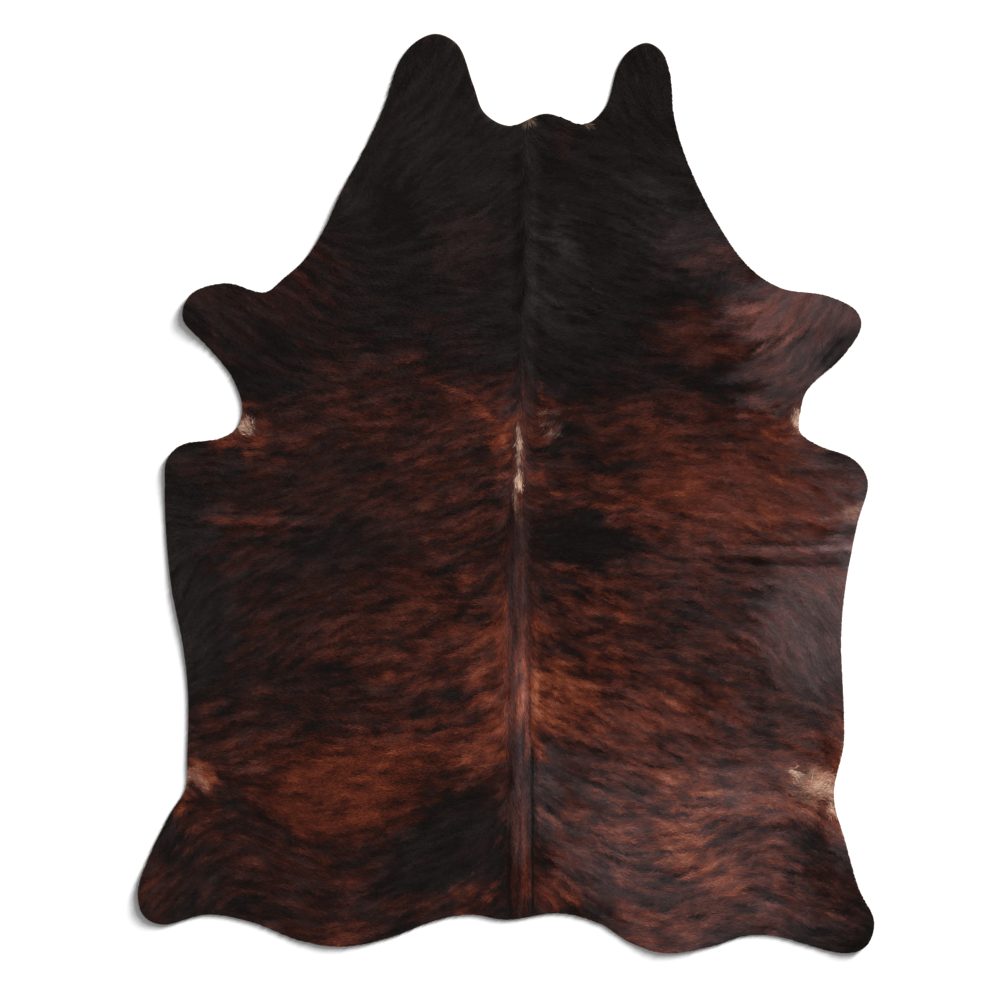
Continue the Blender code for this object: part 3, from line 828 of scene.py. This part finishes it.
def streaked(streak):
    """Noise drawn out along the lie of the coat: from each grid point the path of the hair is
    followed for the streak's reach both ways, one grid step at a time, and the noise that it passes
    is averaged and scaled to an average of 0 and a spread of 1."""
    noise = soft_noise(streak.seed, streak.blur)
    total = noise.copy()
    columns, rows = np.meshgrid(np.arange(GRID_COLUMNS), np.arange(GRID_ROWS))
    for way in (1.0, -1.0):
        column = columns.astype(float)
        row = rows.astype(float)
        i, j = columns, rows
        for _ in range(int(streak.reach / FIELD_STEP)):
            column = column + way * COMB_X[j, i]
            row = row + way * COMB_Y[j, i]
            i = np.clip(np.rint(column).astype(int), 0, GRID_COLUMNS - 1)
            j = np.clip(np.rint(row).astype(int), 0, GRID_ROWS - 1)
            total += noise[j, i]
    return (total - total.mean()) / total.std()


def beside_strip(x, y):
    """How far outside the strip on the backbone each place is, negative inside it."""
    half_width = np.interp(y, [row.y for row in STRIP], [row.half_width for row in STRIP])
    return np.abs(x - backbone_x(y)) - half_width


def out_of_strip(x, y):
    """0 in the strip, 1 outside it, and an S across its edge."""
    return soft_step(beside_strip(x, y) / STRIP_EDGE + 0.5)


def crest_share(x, y):
    """1 in the strip, and beside it less by a fall-off over its reach."""
    reach = np.interp(y, [row.y for row in STRIP], [row.reach for row in STRIP])
    return np.exp(-np.maximum(beside_strip(x, y), 0.0) / reach)


def comb_fall(x, y):
    """Cosine and sine of the fall at each place: the average of the lies on the same side of the
    backbone, weighed by nearness, and steeper towards the backbone."""
    side = np.sign(x - backbone_x(y))
    level = np.zeros_like(x)
    down = np.zeros_like(x)
    for lie in LIES:
        same_side = side * np.sign(lie.x - backbone_x(lie.y)) >= 0
        near = np.exp(-((x - lie.x) ** 2 + (y - lie.y) ** 2) / (2 * LIE_REACH ** 2)) + LIE_LEAST
        level += same_side * near * np.cos(np.radians(lie.fall))
        down += same_side * near * np.sin(np.radians(lie.fall))
    fall = np.arctan2(down, level)
    fall = fall + (np.radians(CREST_FALL) - fall) * crest_share(x, y)
    return np.cos(fall), np.sin(fall)


def comb_heading(x, y):
    """Unit vector of the lie of the coat: outwards and down by the fall, straight to the tail on the
    backbone, turned in the whorls, and a little unsteady everywhere."""
    level, down = comb_fall(x, y)
    outward = np.sign(x - backbone_x(y)) * out_of_strip(x, y)
    heading = np.arctan2(-down, outward * level)
    for whorl in WHORLS:
        share = np.hypot(x - whorl.x, y - whorl.y) / whorl.reach
        heading = heading + np.radians(whorl.turn) * soft_hump(share)
    sway = patches(BROAD_SWAY) + patches(CLUMP_SWAY)
    heading = heading + np.radians(sway) * np.abs(outward)
    return np.cos(heading), np.sin(heading)


def marked(marks, shift_x, shift_y):
    """Sum of the marks: each is full in the middle of its turned oval and fades in an S to its rim.
    It is read a shift away from each grid point, less of it the narrower the mark is."""
    total = np.zeros_like(GRID_X)
    for mark in marks:
        share = min(1.0, mark.half_width / FEATHERED_WIDTH, mark.half_length / FEATHERED_WIDTH)
        from_x = GRID_X + share * shift_x - mark.x
        from_y = GRID_Y + share * shift_y - mark.y
        turn = np.radians(mark.turn)
        along = from_x * np.cos(turn) + from_y * np.sin(turn)
        across = from_y * np.cos(turn) - from_x * np.sin(turn)
        inwards = 1.0 - np.hypot(along / mark.half_length, across / mark.half_width)
        total += mark.amount * soft_step(inwards / MARK_SOFTNESS)
    return total


def line_rust_and_painted_shade():
    """What the thin lines do: the rust that the bright ones add, and the share of all colour that the
    dark ones leave, as painted shade in partings and creases."""
    added = np.zeros_like(GRID_X)
    left = np.ones_like(GRID_X)
    for line in LINES:
        hump = line_hump(line, LINE_TAPER, GRID_X, GRID_Y)
        added += max(line.amount, 0.0) * hump
        left *= 1.0 + min(line.amount, 0.0) * hump
    return added, left


def coat_markings_and_sheen():
    """Rust, painted sheen and paleness on the grid. The marks are read a little way along the hair
    from where they are, which feathers their edges. Streaks along the hair are added to the rust, by
    the square root of how much there is, and to the painted sheen, which also gets flecks where there
    is rust. In the strip they are the strip's own. Dark lines, painted shade in partings and creases,
    leave less of rust and painted sheen."""
    feather = FEATHER.size * streaked(FEATHER)
    ragged = patches(RAGGED)
    shift = (feather * COMB_X - ragged * COMB_Y, feather * COMB_Y + ragged * COMB_X)
    narrow = streaked(NARROW)
    fine = streaked(FINE)
    streaks = CLOUD.size * streaked(CLOUD) + BROAD.size * streaked(BROAD)
    streaks = streaks + NARROW.size * narrow + FINE.size * fine
    in_strip = 1.0 - out_of_strip(GRID_X, GRID_Y)
    streaks = streaks + (IN_STRIP.size * streaked(IN_STRIP) - streaks) * in_strip

    # added is the rust of the bright lines; left is the share of colour that the painted shade of the
    # dark lines leaves.
    added, left = line_rust_and_painted_shade()
    ground = np.maximum(marked(RUST, *shift) - marked(DARK, *shift), 0.0) + added
    streaks = streaks * (1.0 + marked(LIVELY, *shift))
    rust = (ground + (STREAK_LEAST + STREAK_CONTRAST * np.sqrt(ground)) * streaks) * left
    # Painted sheen: a mauve-grey lightening where the hair catches the light, streaked along the hair
    # and flecked into the rust.
    sheen_streaks = PAINTED_SHEEN_FROM_RUST_STREAKS * streaks + PAINTED_SHEEN_STREAK.size * streaked(PAINTED_SHEEN_STREAK)
    flecks = PAINTED_SHEEN_FLECKS * np.sqrt(ground) * np.maximum(sheen_streaks, 0.0)
    painted_sheen = np.maximum(marked(PAINTED_SHEEN, *shift) + PAINTED_SHEEN_EVERYWHERE + flecks, 0.0)
    painted_sheen = np.maximum(painted_sheen + PAINTED_SHEEN_CONTRAST * np.sqrt(painted_sheen) * sheen_streaks, 0.0) * left
    uneven = 1.0 + PALE_CONTRAST * (PALE_NARROW_SHARE * narrow + PALE_FINE_SHARE * fine)
    pale = np.clip(marked(PALE, *shift) * uneven, 0.0, 1.0)
    return rust, painted_sheen, pale


COMB_X, COMB_Y = comb_heading(GRID_X, GRID_Y)
# Rust, painted sheen and pale hair, each on the grid.
RUST_GRID, PAINTED_SHEEN_GRID, PALE_GRID = coat_markings_and_sheen()
CLEARANCE_GRID = rim_clearance(GRID_X, GRID_Y)
LIFT_GRID = hide_lift(GRID_X, GRID_Y)


def markings_and_sheen_at(x, y):
    """Rust, painted sheen and paleness at each place, side by side."""
    return np.column_stack([read_grid(grid, x, y) for grid in (RUST_GRID, PAINTED_SHEEN_GRID, PALE_GRID)])


# ---------------------------------------------------------------------------------------------
# Meshes.
# ---------------------------------------------------------------------------------------------


def mesh_of_triangles(name, corners, triangles, slots=None):
    """A mesh from whole arrays of corners, in millimetres, and of corner numbers."""
    mesh = bpy.data.meshes.new(name)
    mesh.vertices.add(len(corners))
    mesh.vertices.foreach_set("co", (corners * MM).astype(np.float32).ravel())
    mesh.loops.add(triangles.size)
    mesh.loops.foreach_set("vertex_index", triangles.astype(np.int32).ravel())
    mesh.polygons.add(len(triangles))
    mesh.polygons.foreach_set("loop_start", np.arange(0, triangles.size, 3, dtype=np.int32))
    if slots is not None:
        mesh.polygons.foreach_set("material_index", slots.astype(np.int32))
    mesh.update()
    return mesh


def add_vectors(mesh, name, values):
    """A vector for each corner of the mesh, under a name that the materials read."""
    attribute = mesh.attributes.new(name, "FLOAT_VECTOR", "POINT")
    attribute.data.foreach_set("vector", values.astype(np.float32).ravel())


def add_map(mesh, places):
    """The piece's own map, as a place for each corner of each face."""
    layer = mesh.uv_layers.new(name="OFBake")
    layer.uv.foreach_set("vector", places.astype(np.float32).ravel())


def add_piece(name, mesh, materials):
    """An object for the mesh, at the origin, that rides on the hide's body."""
    for material in materials:
        mesh.materials.append(material)
    piece = bpy.data.objects.new(name, mesh)
    scene.collection.objects.link(piece)
    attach(piece, "root")
    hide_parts("hide")
    return piece


def lattice(step, clearance):
    """Points of a lattice of equal triangles that are at least this far inside the rim."""
    low = RIM.min(axis=0)
    high = RIM.max(axis=0)
    rows = np.arange(low[1], high[1], step * np.sqrt(3.0) / 2)
    x, y = np.meshgrid(np.arange(low[0], high[0], step), rows)
    x = x + (np.arange(rows.size) % 2)[:, None] * step / 2
    points = np.column_stack((x.ravel(), y.ravel()))
    return points[read_grid(CLEARANCE_GRID, points[:, 0], points[:, 1]) > clearance]


def filled(ring, step):
    """The area inside a ring of points, as points and triangles: the ring first, then a lattice."""
    points = np.vstack((ring, lattice(step, step * LATTICE_CLEARANCE)))
    flat = [Vector(point) for point in points]
    outline = [list(range(len(ring)))]
    corners, _, faces, _, _, _ = delaunay_2d_cdt(flat, [], outline, INSIDE_ONLY, JOIN_TOLERANCE)
    corners = np.array([tuple(corner) for corner in corners])
    return corners, np.array(faces)


def rim_outward():
    """Unit vectors that point out of the hide at each rim point, square to the rim."""
    tangent = np.roll(RIM, -1, axis=0) - np.roll(RIM, 1, axis=0)
    outward = np.column_stack((tangent[:, 1], -tangent[:, 0]))
    return outward / np.linalg.norm(outward, axis=1)[:, None]


def strip_between(first, second, count):
    """Triangles between two rings of count points, numbered from first and from second."""
    here = np.arange(count)
    after = (here + 1) % count
    lower = np.column_stack((first + here, first + after, second + after))
    upper = np.column_stack((first + here, second + after, second + here))
    return np.vstack((lower, upper))


def leather_top(x, y):
    """Height of the leather's upper face: its thickness above the underside, less the troughs."""
    lift = read_grid(LIFT_GRID, x, y)
    trough = np.zeros_like(x)
    for line in LINES:
        trough = trough + line.depth * line_hump(line, LINE_TAPER, x, y)
    return lift + LEATHER_THICKNESS - trough


def hide_sheet(materials):
    """The leather: an upper face and an underside, each a ring filled with a lattice, joined at the
    rim by a rounded cut edge of four rings. The first material is for the upper face only."""
    outward = rim_outward()
    count = len(RIM)
    rings = [RIM + outward * -edge.inset for edge in EDGE_PROFILE]
    top, top_faces = filled(rings[0], TOP_STEP)
    under, under_faces = filled(rings[-1], UNDER_STEP)
    rim_lift = read_grid(LIFT_GRID, RIM[:, 0], RIM[:, 1])

    corners = [np.column_stack((top, leather_top(top[:, 0], top[:, 1])))]
    corners[0][:count, 2] = rim_lift + EDGE_PROFILE[0].height
    starts = [0, len(top)]
    for ring, edge in zip(rings[1:-1], EDGE_PROFILE[1:-1]):
        corners.append(np.column_stack((ring, rim_lift + edge.height)))
        starts.append(starts[-1] + count)
    corners.append(np.column_stack((under, read_grid(LIFT_GRID, under[:, 0], under[:, 1]))))
    corners[-1][:count, 2] = rim_lift

    edge_faces = [strip_between(starts[k + 1], starts[k], count) for k in range(len(starts) - 1)]
    faces = np.vstack([top_faces] + edge_faces + [under_faces[:, ::-1] + starts[-1]])
    corners = np.vstack(corners)
    slots = np.ones(len(faces))
    slots[:len(top_faces)] = 0

    mesh = mesh_of_triangles("hide_sheet", corners, faces, slots)
    mesh.shade_smooth()
    # Rust, painted sheen and paleness for each corner.
    add_vectors(mesh, "marking_and_painted_sheen", markings_and_sheen_at(corners[:, 0], corners[:, 1]))
    add_map(mesh, sheet_map(corners, faces, starts, len(under_faces), outward))
    return add_piece("hide_sheet", mesh, materials)


def sheet_map(corners, faces, starts, under_count, outward):
    """The map of the sheet: the upper face lies flat in the left half, with the cut edge folded out
    round it, and the underside lies flat in the right half."""
    plan = corners[:, :2].copy()
    count = len(RIM)
    for k, start in enumerate(starts):
        plan[start:start + count] = RIM + outward * (k * EDGE_ON_MAP)
    low = plan.min(axis=0)
    span = plan.max(axis=0) - low
    places = ((plan - low) / span * HALF_OF_MAP + UPPER_ON_MAP)[faces]
    under = (corners[:, :2] - low) / span * HALF_OF_MAP + UNDER_ON_MAP
    places[-under_count:] = under[faces[-under_count:]]
    return places


Locks = namedtuple("Locks", "root along length width shade rise")


def chosen_locks(locks, choice):
    """Some of the locks, by a mask or by their numbers in a new order."""
    return Locks(*(part[choice] for part in locks))


def hair_locks():
    """Roots, headings and sizes of all locks: a shaken lattice of roots, each lock along the lie of
    the coat with a little turn of its own, and cut back where it would reach past the rim."""
    random = np.random.default_rng(LOCK_SEED)
    root = lattice(LOCK_SPACING, -LOCK_SPACING)
    root = root + random.uniform(-ROOT_SHAKE, ROOT_SHAKE, root.shape) * LOCK_SPACING
    root = root[read_grid(CLEARANCE_GRID, root[:, 0], root[:, 1]) > ROOT_CLEARANCE]
    x, y = root.T
    count = len(root)
    pale = read_grid(PALE_GRID, x, y)
    sway = LOCK_SWAY_IN_STRIP + (LOCK_SWAY - LOCK_SWAY_IN_STRIP) * out_of_strip(x, y)
    turn = np.radians(sway * (1.0 + pale)) * random.normal(size=count)
    heading = np.arctan2(read_grid(COMB_Y, x, y), read_grid(COMB_X, x, y)) + turn
    along = np.column_stack((np.cos(heading), np.sin(heading)))
    least = 1.0 - LOCK_VARIETY
    most = 1.0 + LOCK_VARIETY
    length = LOCK_LENGTH * random.uniform(least, most, count) * (1.0 + PALE_LENGTHENING * pale)
    tip = root + along * length[:, None]
    root_clearance = read_grid(CLEARANCE_GRID, x, y) + RIM_OVERHANG
    tip_clearance = read_grid(CLEARANCE_GRID, tip[:, 0], tip[:, 1]) + RIM_OVERHANG
    fall = np.maximum(root_clearance - tip_clearance, CLOSE)
    length = length * np.where(tip_clearance < 0, root_clearance / fall, 1.0)
    width = LOCK_WIDTH * random.uniform(least, most, count)
    shade = random.uniform(0.0, 1.0, count)
    rise = random.uniform(least, most, count)
    return Locks(root, along, length, width, shade, rise)


def lock_corners(locks):
    """Corners of the locks, four each. A lock is a kite, root, right, tip, left, that rises from its
    root to its tip and is lower at its two sides, so that it has a rib."""
    right = np.column_stack((locks.along[:, 1], -locks.along[:, 0]))
    middle = locks.root + locks.along * (locks.length * LOCK_WIDEST)[:, None]
    tip = locks.root + locks.along * locks.length[:, None]
    half = (locks.width / 2)[:, None]
    plan = np.stack((locks.root, middle + right * half, tip, middle - right * half), axis=1)
    tip_height = TIP_HEIGHT * locks.rise
    side_height = ROOT_HEIGHT + (tip_height - ROOT_HEIGHT) * LOCK_WIDEST - LOCK_RIB
    root_height = np.full(len(tip_height), ROOT_HEIGHT)
    height = np.column_stack((root_height, side_height, tip_height, side_height))
    flat = plan.reshape(-1, 2)
    return np.column_stack((flat, leather_top(flat[:, 0], flat[:, 1]) + height.ravel()))


def coat_piece(band, locks, material):
    """One piece of the coat: the locks with their roots in its band, two faces each. Every lock has
    the markings and the painted sheen at its root, with a little more or less rust of its own."""
    y = locks.root[:, 1]
    locks = chosen_locks(locks, (y >= band.low_y) & (y < band.high_y))
    locks = chosen_locks(locks, map_order(locks.root))
    count = len(locks.root)
    first = np.arange(count)[:, None, None] * 4
    faces = (first + np.array(((0, 1, 2), (0, 2, 3)))).reshape(-1, 3)
    mesh = mesh_of_triangles(band.name, lock_corners(locks), faces)

    # Rust, painted sheen and paleness at each root.
    markings = markings_and_sheen_at(locks.root[:, 0], locks.root[:, 1])
    own = (locks.shade - 0.5) * EVEN_SPREAD
    markings[:, 0] += LOCK_JITTER * np.sqrt(np.maximum(markings[:, 0], 0.0)) * own
    add_vectors(mesh, "marking_and_painted_sheen", np.repeat(markings, 4, axis=0))
    strand = np.empty((count, 4, 3))
    strand[:, :, 0] = (0.0, LOCK_WIDEST, 1.0, LOCK_WIDEST)
    strand[:, :, 1] = (0.0, 1.0, 0.0, -1.0)
    strand[:, :, 2] = locks.shade[:, None]
    add_vectors(mesh, "strand", strand.reshape(-1, 3))
    add_map(mesh, lock_map(count))
    return add_piece(band.name, mesh, [material])


def map_order(roots):
    """Order of the locks on the map: rows of the square map by y, and by x along each row, so that
    neighbours on the map are neighbours on the hide."""
    side = int(np.ceil(np.sqrt(len(roots))))
    by_y = np.argsort(roots[:, 1], kind="stable")
    row = np.empty(len(roots), dtype=int)
    row[by_y] = np.arange(len(roots)) // side
    return np.lexsort((roots[:, 0], row))


def lock_map(count):
    """The map of a coat piece: a square of cells, one for each lock, which its two faces fill."""
    side = int(np.ceil(np.sqrt(count)))
    cell = np.arange(count)
    low = np.column_stack((cell % side, cell // side))[:, None, :]
    corner = np.array(((0, 0), (1, 0), (1, 1), (0, 0), (1, 1), (0, 1)))[None, :, :]
    return (low + corner) / side


# ---------------------------------------------------------------------------------------------
# Materials.
# ---------------------------------------------------------------------------------------------


class Nodes:
    """Short ways to lay out the nodes of a tree."""

    def __init__(self, tree):
        self.tree = tree
        self.tree.nodes.clear()

    def add(self, kind, settings=None, inputs=None):
        """A node with these settings; an input is a value or the output that feeds it."""
        node = self.tree.nodes.new(kind)
        for name, value in (settings or {}).items():
            setattr(node, name, value)
        for name, value in (inputs or {}).items():
            if isinstance(value, bpy.types.NodeSocket):
                self.tree.links.new(value, node.inputs[name])
            else:
                node.inputs[name].default_value = value
        return node

    def math(self, operation, first, second=0.0, clamp=False):
        """One step of arithmetic on numbers."""
        settings = {"operation": operation, "use_clamp": clamp}
        return self.add("ShaderNodeMath", settings, {0: first, 1: second}).outputs[0]

    def vector(self, operation, first, second=(0.0, 0.0, 0.0)):
        """One step of arithmetic on vectors."""
        settings = {"operation": operation}
        return self.add("ShaderNodeVectorMath", settings, {0: first, 1: second}).outputs[0]

    def scaled(self, vector, scale):
        """A vector times a number."""
        node = self.add("ShaderNodeVectorMath", {"operation": "SCALE"}, {0: vector, "Scale": scale})
        return node.outputs[0]

    def mixed(self, share, first, second):
        """Two colours mixed. Inputs 6 and 7 and output 2 are the colours of the node."""
        inputs = {0: share, 6: first, 7: second}
        return self.add("ShaderNodeMix", {"data_type": "RGBA"}, inputs).outputs[2]

    def blend(self, first, first_share, second, second_share):
        """Two numbers added up, each times its share."""
        second = self.math("MULTIPLY", second, second_share)
        return self.math("ADD", self.math("MULTIPLY", first, first_share), second)

    def ramp(self, value, stops):
        """A colour ramp through (place, colour) stops."""
        node = self.add("ShaderNodeValToRGB", inputs={"Fac": value})
        stops = list(stops)
        elements = node.color_ramp.elements
        while len(elements) < len(stops):
            elements.new(0.5)
        for element, (place, colour) in zip(elements, stops):
            element.position = place
            element.color = (*colour, 1.0)
        return node.outputs["Color"]

    def noise(self, vector, scale, detail=2.0, roughness=0.5):
        """Noise from 0 to 1 at a number of waves for each unit of the vector."""
        inputs = {"Vector": vector, "Scale": scale, "Detail": detail, "Roughness": roughness}
        return self.add("ShaderNodeTexNoise", inputs=inputs).outputs["Fac"]


def node_group(name, inputs, outputs):
    """An empty node group with named sockets; returns it, its nodes and its input node."""
    group = bpy.data.node_groups.new(name, "ShaderNodeTree")
    for socket, kind, value in inputs:
        made = group.interface.new_socket(socket, in_out="INPUT", socket_type=kind)
        if value is not None:
            made.default_value = value
    for socket, kind in outputs:
        group.interface.new_socket(socket, in_out="OUTPUT", socket_type=kind)
    nodes = Nodes(group)
    return group, nodes, nodes.add("NodeGroupInput")


def brindle_and_sheen_group():
    """Colour of the coat: a tone for the rust, the painted sheen added to it as a mauve-grey
    lightening where the hair catches the light, and pale hair over both, each lock a little lighter or
    darker than the next."""
    group, nodes, given = node_group(
        "brindle",
        (
            ("Rust", "NodeSocketFloat", 0.0),
            ("Painted Sheen", "NodeSocketFloat", 0.0),
            ("Pale", "NodeSocketFloat", 0.0),
            ("Shade", "NodeSocketFloat", 0.5),
            ("Shade Range", "NodeSocketFloat", 0.3),
        ),
        (("Color", "NodeSocketColor"),),
    )
    rust = nodes.math("DIVIDE", given.outputs["Rust"], RUST_TOP, clamp=True)
    tone = nodes.ramp(rust, [(tone.rust / RUST_TOP, tone.colour) for tone in TONES])
    # Painted sheen: mauve-grey added to the tone where the hair would catch the light.
    coat = nodes.vector("ADD", tone, nodes.scaled(PAINTED_SHEEN_COLOUR, given.outputs["Painted Sheen"]))
    offset = nodes.math("SUBTRACT", given.outputs["Shade"], 0.5)
    gain = nodes.math("ADD", nodes.math("MULTIPLY", offset, given.outputs["Shade Range"]), 1.0)
    coat = nodes.scaled(coat, gain)
    colour = nodes.mixed(given.outputs["Pale"], coat, (*PALE_COLOUR, 1.0))
    nodes.add("NodeGroupOutput", inputs={"Color": colour})
    return group


def hairs_group():
    """Fine hairs within a lock: noise drawn out along it, different for each lock."""
    group, nodes, given = node_group(
        "hairs in a lock",
        (
            ("Lock", "NodeSocketVector", None),
            ("Hairs Across", "NodeSocketFloat", 4.0),
        ),
        (("Hairs", "NodeSocketFloat"),),
    )
    parts = nodes.add("ShaderNodeSeparateXYZ", inputs={0: given.outputs["Lock"]})
    across = nodes.math("MULTIPLY", parts.outputs["Y"], given.outputs["Hairs Across"])
    along = nodes.math("MULTIPLY", parts.outputs["X"], HAIRS_ALONG)
    apart = nodes.math("MULTIPLY", parts.outputs["Z"], LOCK_APART)
    place = nodes.add("ShaderNodeCombineXYZ", inputs={"X": across, "Y": along, "Z": apart}).outputs[0]
    nodes.add("NodeGroupOutput", inputs={"Hairs": nodes.noise(place, 1.0, detail=1.0)})
    return group


def new_material(name):
    """A material with empty nodes; returns it and its nodes."""
    material = bpy.data.materials.new(name)
    material.use_nodes = True
    return material, Nodes(material.node_tree)


def coat_colour(nodes, brindle, shade, shade_range, rust_share=1.0):
    """The coat's colour, from the rust, painted sheen and paleness that the piece's corners carry."""
    carried = nodes.add("ShaderNodeAttribute", {"attribute_name": "marking_and_painted_sheen"})
    parts = nodes.add("ShaderNodeSeparateXYZ", inputs={0: carried.outputs["Vector"]})
    return nodes.add("ShaderNodeGroup", {"node_tree": brindle}, {
        "Rust": nodes.math("MULTIPLY", parts.outputs["X"], rust_share),
        "Painted Sheen": parts.outputs["Y"],
        "Pale": parts.outputs["Z"],
        "Shade": shade,
        "Shade Range": shade_range,
    }).outputs["Color"]


def finish_with(nodes, finish, colour, texture):
    """The material's shader and its output. The texture, from 0 to 1, makes it rougher and higher."""
    added = nodes.math("MULTIPLY", texture, finish.added_roughness)
    bump = nodes.add("ShaderNodeBump", inputs={
        "Strength": finish.bump, "Distance": finish.bump_depth, "Height": texture,
    })
    shader = nodes.add("ShaderNodeBsdfPrincipled", inputs={
        "Specular IOR Level": finish.specular,
        "Base Color": colour,
        "Roughness": nodes.math("ADD", added, finish.roughness),
        "Normal": bump.outputs[0],
    })
    nodes.add("ShaderNodeOutputMaterial", inputs={"Surface": shader.outputs[0]})


def hair_material(brindle):
    """Short glossy cow hair, lock by lock."""
    material, nodes = new_material("cow_hair")
    strand = nodes.add("ShaderNodeAttribute", {"attribute_name": "strand"}).outputs["Vector"]
    parts = nodes.add("ShaderNodeSeparateXYZ", inputs={0: strand})
    hairs = nodes.add("ShaderNodeGroup", {"node_tree": hairs_group()}, {
        "Lock": strand, "Hairs Across": HAIRS_ACROSS,
    }).outputs["Hairs"]
    shade = nodes.blend(parts.outputs["Z"], SHADE_OF_LOCK, hairs, SHADE_OF_HAIRS)
    finish_with(nodes, HAIR_FINISH, coat_colour(nodes, brindle, shade, HAIR_SHADE_RANGE), hairs)
    return material


def coat_base_material(brindle):
    """The base of the coat on the leather, which shows between the locks: a fine nap, with a little
    less rust."""
    material, nodes = new_material("coat_base")
    place = nodes.add("ShaderNodeTexCoord").outputs["Object"]
    nap = nodes.noise(place, BASE_NAP)
    colour = coat_colour(nodes, brindle, nap, BASE_SHADE_RANGE, RUST_IN_BASE)
    finish_with(nodes, COAT_BASE_FINISH, colour, nap)
    return material


def suede_material():
    """The flesh side and the cut edge: pale brown suede with a cloudy nap and fine fibres."""
    material, nodes = new_material("flesh_side_suede")
    place = nodes.add("ShaderNodeTexCoord").outputs["Object"]
    clouds = nodes.noise(place, SUEDE_CLOUDS, detail=4.0, roughness=0.6)
    nap = nodes.noise(place, SUEDE_NAP, detail=3.0, roughness=0.6)
    share = nodes.blend(clouds, SUEDE_CLOUD_SHARE, nap, SUEDE_NAP_SHARE)
    colour = nodes.mixed(share, (*SUEDE_DARK, 1.0), (*SUEDE_LIGHT, 1.0))
    finish_with(nodes, SUEDE_FINISH, colour, nap)
    return material


def floor_material():
    """A plain pale matt floor with the faintest clouds."""
    material, nodes = new_material("pale_floor")
    place = nodes.add("ShaderNodeTexCoord").outputs["Object"]
    cloud = nodes.noise(place, FLOOR_CLOUDS)
    colour = nodes.mixed(cloud, (*FLOOR_DARK, 1.0), (*FLOOR_LIGHT, 1.0))
    shader = nodes.add("ShaderNodeBsdfPrincipled", inputs={
        "Specular IOR Level": 0.0, "Roughness": 1.0, "Base Color": colour,
    })
    nodes.add("ShaderNodeOutputMaterial", inputs={"Surface": shader.outputs[0]})
    return material


# ---------------------------------------------------------------------------------------------
# Stage.
# ---------------------------------------------------------------------------------------------


def add_floor():
    """The floor: a square of four corners under the hide."""
    reach = FLOOR_HALF_WIDTH
    corners = [(-reach, -reach, -FLOOR_DROP), (reach, -reach, -FLOOR_DROP),
               (reach, reach, -FLOOR_DROP), (-reach, reach, -FLOOR_DROP)]
    mesh = bpy.data.meshes.new("floor")
    mesh.from_pydata(corners, [], [(0, 1, 2, 3)])
    mesh.materials.append(floor_material())
    floor = bpy.data.objects.new("floor", mesh)
    scene.collection.objects.link(floor)


def add_camera():
    """A camera straight above, which takes in the photo's width at the floor."""
    lens = bpy.data.cameras.new("camera")
    lens.sensor_width = SENSOR_WIDTH
    lens.lens = SENSOR_WIDTH * CAMERA_HEIGHT / PHOTO_WIDTH
    lens.clip_end = CAMERA_SIGHT
    camera = bpy.data.objects.new("camera", lens)
    camera.location = (*CAMERA_PLACE, CAMERA_HEIGHT)
    scene.collection.objects.link(camera)
    scene.camera = camera


def add_lamp(lamp):
    """A sun that shines from its azimuth and elevation, as wide as a soft light in a studio."""
    light = bpy.data.lights.new(lamp.name, "SUN")
    light.energy = lamp.strength
    light.angle = np.radians(lamp.width)
    sun = bpy.data.objects.new(lamp.name, light)
    level = np.cos(np.radians(lamp.elevation))
    towards = Vector((
        level * np.cos(np.radians(lamp.azimuth)),
        level * np.sin(np.radians(lamp.azimuth)),
        np.sin(np.radians(lamp.elevation)),
    ))
    sun.rotation_euler = towards.to_track_quat("Z", "Y").to_euler()
    scene.collection.objects.link(sun)


def add_sky():
    """Even white light from all round."""
    world = bpy.data.worlds.new("studio")
    world.use_nodes = True
    world.node_tree.nodes["Background"].inputs["Color"].default_value = (1.0, 1.0, 1.0, 1.0)
    world.node_tree.nodes["Background"].inputs["Strength"].default_value = SKY_STRENGTH
    scene.world = world


scene.view_settings.view_transform = "Standard"
add_camera()
add_sky()
for lamp in LAMPS:
    add_lamp(lamp)
add_floor()

brindle = brindle_and_sheen_group()
sheet = hide_sheet([coat_base_material(brindle), suede_material()])
hair = hair_material(brindle)
locks = hair_locks()
coats = [coat_piece(band, locks, hair) for band in COAT_BANDS]
